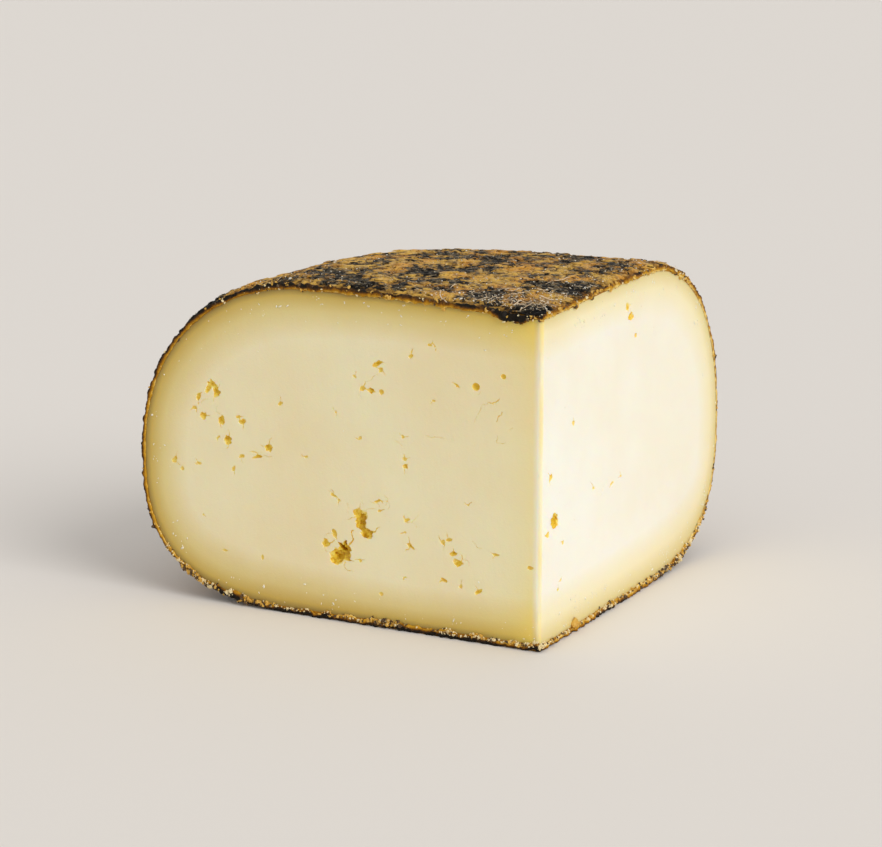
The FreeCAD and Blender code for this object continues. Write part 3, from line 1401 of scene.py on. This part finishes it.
    def cracks(self) -> Piece:
        """Model all cracks as rows of small flattened beads in one mesh.

        Returns:
            The beads.
        """
        deselect_all()
        bpy.ops.mesh.primitive_ico_sphere_add(subdivisions=2, radius=1)
        bead = take_new("bead")
        places, sizes = [], []
        draw = np.random.default_rng(5)
        for cut in Cut:
            facing = np.abs(np.array(cut.value))
            for number, crack in enumerate((*CRACKS[cut], *self.tails(EYES[cut], draw))):
                for row in self.crack_beads(cut, crack, 100 + number):
                    places.append(row[:3])
                    sizes.append(row[3] * (self.crack_half_width * (1 - facing)
                                           + self.crack_depth * facing))
        return scatter_copies(bead, "cracks", places, sizes)

    def hollows(self) -> Piece:
        """Model everything that the cuts lay open as one clean solid.

        Returns:
            The tool to hollow the paste with.
        """
        parts = []
        for cut in Cut:
            for number, eye in enumerate(EYES[cut]):
                place = self.on_cut(cut, eye.across, eye.up)
                parts.append(self.blob(place, cut, eye, self.eye_seed * number))
        tool = join_into(parts[0], [*parts[1:], self.cracks()])
        finish_modifier(tool, "REMESH", mode="VOXEL", voxel_size=self.eye_voxel)
        return tool

    def shade(self, paste: Piece, outside: BVHTree) -> None:
        """Store at each vertex what the finish reads there.

        Args:
            paste: the modelled paste.
            outside: search tree of the skin.
        """
        points = points_of(paste)
        share_up = points[:, 2] / self.form.high.z
        behind_front, behind_side = (self.form.behind(cut, points) for cut in Cut)
        sunk = np.minimum(behind_front - self.sway(points, Cut.FRONT),
                          behind_side - self.sway(points, Cut.SIDE))
        turned = behind_front - behind_side
        foot = 1 - smooth_step(points[:, 2], *self.foot_zone)
        near = self.front_foot + self.near_foot * fall_off(behind_side, self.near_reach)
        far = smooth_step(np.abs(turned), *(share * self.form.high.x for share in self.far_zone))
        broad = 1 + foot * np.where(turned > 0, self.side_foot, near) + self.far_more * far
        gap = gap_to(outside, points) / (self.gap_span * broad)
        # side_face also carries the paler side colour a little round the rounded cut edge onto the front, as
        # a painted highlight along the edge.
        side_face = smooth_step(turned, *(share * self.edge_round for share in self.turn_zone))
        # edge_glow is painted light: the front cut glows warm near the cut edge, more towards the top and
        # the ends, as if lit through the paste.
        reach = self.glow_reach * (1 + self.glow_top_more * smooth_step(share_up, *self.glow_top))
        glow = fall_off(behind_side, reach) * smooth_step(-turned, *self.glow_zone)
        ends = smooth_step(np.abs(share_up - 0.5), *self.ends_zone)
        for name, values in (
                ("rind_gap", np.clip(gap, 0, 1)),
                ("eye_depth", np.clip((sunk - self.eye_brink) / self.depth_span, 0, 1)),
                ("foot_shade", (1 - smooth_step(points[:, 2], *self.shade_zone)) * (turned > 0)),
                ("side_face", side_face),
                ("edge_glow", glow * (self.glow_even + self.glow_ends * ends))):
            put_attribute(paste, name, values)

    def build(self, outside: BVHTree) -> Piece:
        """Model and dress the paste.

        Args:
            outside: search tree of the skin.

        Returns:
            The piece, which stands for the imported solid.
        """
        paste = self.block()
        body = self.form.uncut("body", self.inset, self.body_voxel)
        finish_modifier(paste, "BOOLEAN", operation="INTERSECT", solver="EXACT", object=body)
        tool = self.hollows()
        finish_modifier(paste, "BOOLEAN", operation="DIFFERENCE", solver="EXACT", object=tool)
        discard(body, tool)
        paste.name = paste.data.name = "paste"
        self.shade(paste, outside)
        settle_piece(paste, PasteFinish().make(), 35)
        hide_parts(NODE)
        return paste


@dataclass(frozen=True)
class Batch:
    """How many of one small thing lie about, and how. Lengths are in millimetres.

    Attributes:
        count: how many.
        middle: their middle size.
        spread: how much the sizes differ.
        lean: how far the things lean.
        slim: the least shares of the size along a thing's own axes.
        stout: the greatest shares.
        largest: the size that none passes.
        loose: how far one may lie from the middle of its face.
        lift: how high they lie over it.
    """

    count: int
    middle: float
    spread: float
    lean: float
    slim: Triple = (1.0, 1.0, 1.0)
    stout: Triple = (1.0, 1.0, 1.0)
    largest: float = math.inf
    loose: float = 0.5
    lift: float = 0.0

    def size(self, draw: np.random.Generator) -> np.ndarray:
        """Draw one size for each thing, as a column."""
        size = draw.lognormal(math.log(self.middle), self.spread, (self.count, 1))
        return np.minimum(size, self.largest) * MM

    def sizes(self, draw: np.random.Generator) -> np.ndarray:
        """Draw three sizes for each thing.

        Args:
            draw: where the chance comes from.

        Returns:
            The sizes along its own axes.
        """
        size = self.size(draw)
        if self.slim == self.stout:
            return size * np.array(self.slim)
        return size * draw.uniform(self.slim, self.stout, (self.count, 3))


@dataclass(frozen=True)
class CrumbKind:
    """One kind of crumb: its finish, its batch along one rim, where it clumps and its lone chunk.

    Attributes:
        finish: its two tones; the piece has the finish's name.
        batch: how many lie along each rim.
        clumps: where they lie thicker.
        by_corner: how much thicker they lie at the foot of the cut edge.
        chunk_place: the chunk's place from the cut edge's foot, if there is one.
        chunk_size: its sizes.
    """

    finish: PlainFinish
    batch: Batch
    clumps: Wobble
    by_corner: float = 0.0
    chunk_place: Triple | None = None
    chunk_size: Triple = (1.5 * MM, 1.2 * MM, 1.0 * MM)


def crumb_batch(middle: float) -> Batch:
    """Make a batch of crumbs round a middle size in millimetres."""
    return Batch(400, middle, 0.4, 0.5, (0.4, 0.4, 0.4), (1.4, 1.4, 1.4), 0.42, 0.2)


CRUMB_KINDS = (
    CrumbKind(PlainFinish("crumbs_gold", tint(196, 146, 48), tint(226, 184, 92)),
              crumb_batch(0.27), Wobble(6 * MM, 11, 2), chunk_place=(0.1 * MM, 18 * MM, 1.8 * MM)),
    CrumbKind(PlainFinish("crumbs_cream", tint(222, 198, 140), tint(242, 228, 186)),
              crumb_batch(0.23), Wobble(6 * MM, 12, 2), by_corner=5),
    CrumbKind(PlainFinish("crumbs_dark", tint(58, 48, 38), tint(116, 86, 50)),
              crumb_batch(0.24), Wobble(6 * MM, 11, 2)))


@dataclass
class Litter:
    """All that lies loose on the cheese: rind scales, mould, shreds, crystals and crumbs."""

    form: Cushion
    outside: BVHTree
    seed: int = 11
    scale_kinds: int = 5
    scale_sides: int = 7
    scale_top: float = 0.74
    scale_peak: float = 0.3
    scale_bend: float = 0.28
    scale_notch: float = 0.17
    scale_batch: Batch = Batch(1400, 1.05, 0.4, 0.035, largest=1.8)
    scale_length: Span = (0.7, 1.5)
    scale_thickness: Span = (0.20, 0.38)
    scale_rim_shrink: float = 0.55
    scale_split: float = 0.84
    rim_reach: float = 3 * MM
    dark_nose: float = 11 * MM
    mould: Batch = Batch(1400, 0.13, 0.4, 0.3, (0.6, 0.6, 0.5), (1.9, 1.2, 0.8), lift=0.35)
    mould_finish: PlainFinish = PlainFinish(
        "mould_white", tint(214, 202, 178), tint(240, 234, 220), 0.8)
    mould_even: float = 0.25
    mould_nose: float = 3.0
    mould_nose_reach: float = 22 * MM
    mould_rim: float = 1.6
    shred: Batch = Batch(115, 1.0, 0.55, 0.10, (1.0, 0.55, 1.0), (1.0, 0.55, 1.0), lift=0.45)
    shred_bow: float = 0.35
    shred_nose: float = 5.0
    shred_nose_reach: float = 16 * MM
    shred_rim_reach: float = 2 * MM
    shred_from: float = 0.8
    shred_finish: PlainFinish = PlainFinish("shred_cream", tint(204, 166, 118), tint(240, 226, 200))
    crystal: Batch = Batch(450, 0.17, 0.35, 0.05, (0.5, 0.7, 0.3), (0.9, 1.8, 0.5), loose=0.4)
    crystal_gap: float = 4.5 * MM
    crystal_band: float = 2.6 * MM
    crystal_strays: float = 0.02
    crystal_least_gap: float = 1.8 * MM
    crystal_clumps: Wobble = Wobble(3 * MM, 21.0, 2)
    crystal_clumping: Span = (0.15, 0.6)
    crystal_between: float = 0.03
    crystal_side_more: float = 1.2
    crystal_finish: PlainFinish = PlainFinish(
        "crystal_white", tint(238, 228, 196), tint(250, 246, 232), 0.5)
    crumbs_even: float = 0.06
    crumbs_foot: float = 2.4
    crumbs_foot_to: float = 0.16
    crumbs_top: float = 0.2
    crumbs_top_from: float = 0.9
    crumbs_from: float = 0.012
    crumbs_clumping: Span = (-0.2, 0.4)
    crumbs_between: float = 0.1
    corner_reach: float = 9 * MM
    corner_to: float = 0.05
    near_cut: float = 1.3 * MM
    near_base: float = 1.2 * MM

    def __post_init__(self) -> None:
        """Start the chance that places everything."""
        self.draw = np.random.default_rng(self.seed)

    def scale(self, number: int) -> Piece:
        """Model one thin scale of dry rind: a low cone with a crooked outline.

        Args:
            number: which kind, as each is crooked in its own way.

        Returns:
            The scale, about two across and one tall.
        """
        deselect_all()
        bpy.ops.mesh.primitive_cone_add(
            vertices=self.scale_sides, radius1=1, radius2=self.scale_top, depth=1, end_fill_type="TRIFAN")
        scale = take_new("scale")
        finish_modifier(scale, "TRIANGULATE")
        points = points_of(scale)
        angle = np.arctan2(points[:, 1], points[:, 0])
        reach = 1 + self.scale_bend * np.sin(2 * angle + number)
        reach += self.scale_notch * np.sin(3 * angle + 2.3 * number)
        points[:, :2] *= reach[:, None]
        hub = np.hypot(points[:, 0], points[:, 1]) < 0.1
        points[:, 2] += self.scale_peak * hub * (points[:, 2] > 0)
        put_points(scale, points)
        return scale

    def scales(self, rind: Piece, name: str,
               share: Callable[[np.ndarray], np.ndarray]) -> Piece:
        """Lay overlapping scales on part of the rind.

        Args:
            rind: the dressed rind.
            name: the new piece's name.
            share: gives by the faces' middles how thickly each is covered.

        Returns:
            The piece.
        """
        ground = Ground(rind, self.draw)
        weights = np.where(self.inner_faces(ground), 0, share(ground.middles))
        count = self.scale_batch.count
        kinds = []
        for number in range(self.scale_kinds):
            places, normals = ground.pick(count, weights, self.scale_batch.loose * MM)
            even = np.array([self.outside.find_nearest(Vector(place))[1] for place in places])
            even *= np.sign((even * normals).sum(axis=1, keepdims=True))
            size = self.scale_batch.size(self.draw)[:, 0]
            size *= 1 - self.scale_rim_shrink * self.form.rim_share(places, self.rim_reach)
            long = self.draw.uniform(*self.scale_length, count)
            thick = self.draw.uniform(*self.scale_thickness, count) * MM
            sizes = np.stack([size * long, size / long, thick], axis=1)
            turns = turns_on(even, self.draw, self.scale_batch.lean)
            kind = scatter_copies(self.scale(number), name, places, sizes, turns)
            shade = self.draw.uniform(0, 1, count)
            shade *= 1 - self.form.nose_share(places, self.dark_nose)
            put_attribute(kind, "brownness", np.repeat(shade, len(kind.data.vertices) // count))
            kinds.append(kind)
        piece = join_into(kinds[0], kinds[1:])
        piece.name = piece.data.name = name
        put_attribute(piece, "relief", np.full(len(piece.data.vertices), 0.8))
        put_attribute(piece, "depth", np.zeros(len(piece.data.vertices)))
        return settle_piece(piece, rind.data.materials[0], 75)

    def inner_faces(self, ground: Ground) -> np.ndarray:
        """Tell which of the rind's faces nothing may lie on.

        Args:
            ground: the rind.

        Returns:
            True for the faces of its lining, its section and its base.
        """
        by_cut = self.form.behind_nearer(ground.middles) < self.near_cut
        middle = np.array((self.form.low + self.form.high) / 2)
        inward = ((ground.middles - middle) * ground.normals).sum(axis=1) < 0
        return by_cut | inward | (ground.middles[:, 2] < self.near_base)

    def grain(self, name: str, detail: int = 1, rough: float = 0.25) -> Piece:
        """Model one grain: a small lumpy ball.

        Args:
            name: the grain's name.
            detail: how finely it is divided.
            rough: how lumpy it is.

        Returns:
            The grain, two across.
        """
        deselect_all()
        bpy.ops.mesh.primitive_ico_sphere_add(subdivisions=detail, radius=1)
        grain = take_new(name)
        points = points_of(grain)
        put_points(grain, points * (1 + rough * Wobble(0.8, 2.5, 1).at(points))[:, None])
        return grain

    def strew(self, grain: Piece, name: str, batch: Batch, ground: Ground, weights: np.ndarray) -> Piece:
        """Lay one batch of small things on a piece.

        Args:
            grain: the small thing, which is copied.
            name: the new piece's name.
            batch: how many there are and how they lie.
            ground: the faces that they lie on.
            weights: how thickly each face is covered.

        Returns:
            The new piece, without its finish.
        """
        places, normals = ground.pick(batch.count, weights, batch.loose * MM)
        sizes = batch.sizes(self.draw)
        places += normals * batch.lift * MM
        return scatter_copies(grain, name, places, sizes, turns_on(normals, self.draw, batch.lean))

    def bloom(self, rind: Piece) -> Piece:
        """Dust the rind with pale mould, thickest at the top of the cut edge.

        Args:
            rind: the dressed rind.

        Returns:
            The piece.
        """
        ground = Ground(rind, self.draw)
        nose = self.form.nose_share(ground.middles, self.mould_nose_reach)
        weights = self.mould_even + self.mould_nose * nose
        weights += self.mould_rim * self.form.rim_share(ground.middles, self.rim_reach)
        weights = np.where(self.inner_faces(ground), 0, weights)
        piece = self.strew(self.grain("mould"), "bloom", self.mould, ground, weights)
        return settle_piece(piece, self.mould_finish.make())

    def curl(self) -> Piece:
        """Model one shred.

        Returns:
            A thin arc, cut off a ring.
        """
        deselect_all()
        bpy.ops.mesh.primitive_torus_add(
            major_segments=20, minor_segments=5, major_radius=1, minor_radius=0.06)
        curl = take_new("shred")
        start_editing(curl)
        bpy.ops.mesh.bisect(
            plane_co=(0, self.shred_bow, 0), plane_no=(0, 1, 0), use_fill=True, clear_inner=True)
        stop_editing()
        finish_modifier(curl, "TRIANGULATE")
        points = points_of(curl)
        points[:, 1] -= 1 - self.shred_bow
        points += 0.10 * Wobble(0.5, 4.4, 2).at(points)[:, None]
        put_points(curl, points)
        return curl

    def shreds(self, rind: Piece) -> Piece:
        """Curl thin pale shreds over the rind near the cuts.

        Args:
            rind: the dressed rind.

        Returns:
            The piece.
        """
        curl = self.curl()
        ground = Ground(rind, self.draw)
        weights = self.shred_nose * self.form.nose_share(ground.middles, self.shred_nose_reach)
        on_top = ground.middles[:, 2] > self.shred_from * self.form.high.z
        weights += self.form.rim_share(ground.middles, self.shred_rim_reach) * on_top
        weights = np.where(self.inner_faces(ground), 0, weights)
        piece = self.strew(curl, "shreds", self.shred, ground, weights)
        return settle_piece(piece, self.shred_finish.make())

    def crystals(self, paste: Piece) -> Piece:
        """Press small white crystals into both cuts, mostly a few millimetres from the rind.

        Args:
            paste: the dressed paste.

        Returns:
            The piece.
        """
        ground = Ground(paste, self.draw)
        on_cuts = np.stack([ground.normals @ np.array(cut.value) > 0.99 for cut in Cut])
        gap = gap_to(self.outside, ground.middles)
        clumps = smooth_step(self.crystal_clumps.at(ground.middles), *self.crystal_clumping)
        weights = hill(gap, self.crystal_gap, self.crystal_band) + self.crystal_strays
        weights *= on_cuts.any(axis=0) * (gap > self.crystal_least_gap)
        weights *= (clumps + self.crystal_between) * (1 + self.crystal_side_more * on_cuts[-1])
        piece = self.strew(self.grain("crystal"), "crystals", self.crystal, ground, weights)
        return settle_piece(piece, self.crystal_finish.make())

    def crumb_weights(self, kind: CrumbKind, ground: Ground) -> np.ndarray:
        """How thickly each face of a rim is strewn with one kind of crumb.

        Args:
            kind: the kind of crumb.
            ground: the rim.

        Returns:
            A weight for each face: high at the foot, low along the top, none on the base.
        """
        height = ground.middles[:, 2] / self.form.high.z
        off_base = height > self.crumbs_from
        weights = (self.crumbs_even + self.crumbs_foot * (height < self.crumbs_foot_to)
                   + self.crumbs_top * (height > self.crumbs_top_from))
        clumps = smooth_step(kind.clumps.at(ground.middles), *self.crumbs_clumping)
        weights *= off_base * (clumps + self.crumbs_between)
        away = np.linalg.norm(ground.middles - np.array(self.form.cut_edge), axis=1)
        corner = fall_off(away, self.corner_reach) * off_base * (height < self.corner_to)
        return weights + kind.by_corner * corner

    def crumbs(self, rims: list[Piece]) -> None:
        """Leave crumbs of paste and rind along the broken rims, most of them low down.

        Args:
            rims: the two broken rims.
        """
        for kind in CRUMB_KINDS:
            name, batch = kind.finish.name, kind.batch
            places, normals, sizes = [], [], []
            for rim in rims:
                ground = Ground(rim, self.draw)
                weights = self.crumb_weights(kind, ground)
                spots, facing = ground.pick(batch.count, weights, batch.loose * MM)
                places.extend(spots)
                normals.extend(facing)
                sizes.extend(batch.sizes(self.draw))
            if kind.chunk_place:
                places.append(self.form.cut_edge + Vector(kind.chunk_place))
                normals.append(Cut.SIDE.value)
                sizes.append(kind.chunk_size)
            turns = turns_on(np.array(normals), self.draw, batch.lean)
            piece = scatter_copies(self.grain(name, 2, 1.1), name, places, sizes, turns)
            points = points_of(piece)
            points[:, 2] = np.maximum(points[:, 2], 0.0)
            put_points(piece, points)
            settle_piece(piece, kind.finish.make(), 25)

    def build(self, paste: Piece, rind: Piece,
              rims: list[Piece]) -> None:
        """Scatter everything.

        Args:
            paste: the dressed paste.
            rind: the dressed rind.
            rims: its two broken rims.
        """
        level = self.scale_split * self.form.high.z
        self.scales(rind, "scales_top", lambda middles: 1.0 * (middles[:, 2] > level))
        self.scales(rind, "scales_side", lambda middles: 1.0 * (middles[:, 2] <= level))
        self.bloom(rind)
        self.shreds(rind)
        self.crystals(paste)
        self.crumbs(rims)


# --- studio -----------------------------------------------------------------------------
@dataclass
class Studio:
    """Pale floor, soft lamps and the camera."""

    form: Cushion
    azimuth: float = 27.825
    elevation: float = 12.45
    distance: float = 0.5587
    aim: Triple = (-24.7 * MM, -0.57 * MM, 49.94 * MM)
    lens: float = 102.04
    floor_size: float = 12.0
    floor_drop: float = 0.05 * MM
    floor_colour: Colour = tint(232, 226, 219)
    sun_from: Colour = (0.8, -0.25, 0.55)
    sun_strength: float = 1.5
    sun_spread: float = 35.0
    sun_colour: Colour = (1.0, 0.995, 0.98)
    sky_colour: Colour = (1.0, 1.0, 1.0, 1.0)
    sky_strength: float = 0.64

    def floor(self) -> None:
        """Lay a large pale floor, a hair below the base."""
        deselect_all()
        bpy.ops.mesh.primitive_plane_add(size=self.floor_size, location=(0, 0, -self.floor_drop))
        floor = take_new("floor")
        sheet = NodeSheet("floor_plain")
        sheet.set(Base_Color=self.floor_colour, Roughness=0.8, Specular_IOR_Level=0.2)
        floor.data.materials.append(sheet.material)

    def sun(self) -> None:
        """Hang one broad soft light, from the right of the camera and above."""
        light = bpy.data.lights.new("window", "SUN")
        light.energy = self.sun_strength
        light.angle = math.radians(self.sun_spread)
        light.color = self.sun_colour
        lamp = bpy.data.objects.new("window", light)
        lamp.rotation_euler = Vector(self.sun_from).to_track_quat("Z", "Y").to_euler()
        bpy.context.collection.objects.link(lamp)

    def sky(self) -> None:
        """Light everything evenly from all round."""
        world = bpy.data.worlds.new("world")
        world.use_nodes = True
        background = world.node_tree.nodes["Background"]
        background.inputs["Color"].default_value = self.sky_colour
        background.inputs["Strength"].default_value = self.sky_strength
        bpy.context.scene.world = world

    def camera(self) -> None:
        """Set the camera up, looking a little down at the upright cut edge."""
        turn, rise = math.radians(self.azimuth), math.radians(self.elevation)
        towards = Vector((math.sin(turn) * math.cos(rise), -math.cos(turn) * math.cos(rise),
                          math.sin(rise)))
        aim = self.form.cut_edge + Vector(self.aim)
        data = bpy.data.cameras.new("camera")
        data.lens = self.lens
        camera = bpy.data.objects.new("camera", data)
        camera.location = aim + towards * self.distance
        camera.rotation_euler = towards.to_track_quat("Z", "Y").to_euler()
        bpy.context.collection.objects.link(camera)
        bpy.context.scene.camera = camera

    def build(self) -> None:
        """Set up floor, light, camera and the way colours are shown."""
        self.floor()
        self.sun()
        self.sky()
        bpy.context.scene.view_settings.view_transform = "Standard"
        self.camera()


def main() -> None:
    """Build the cheese and the studio, and report each piece."""
    logging.basicConfig(level=logging.INFO, format="%(name)s %(message)s")
    form = Cushion(*CAD_BOX)
    outside = form.skin_tree()
    paste = Paste(form).build(outside)
    rind, *rims = Rind(form).build(outside)
    Litter(form, outside).build(paste, rind, rims)
    Studio(form).build()


if __name__ == "__main__":
    main()
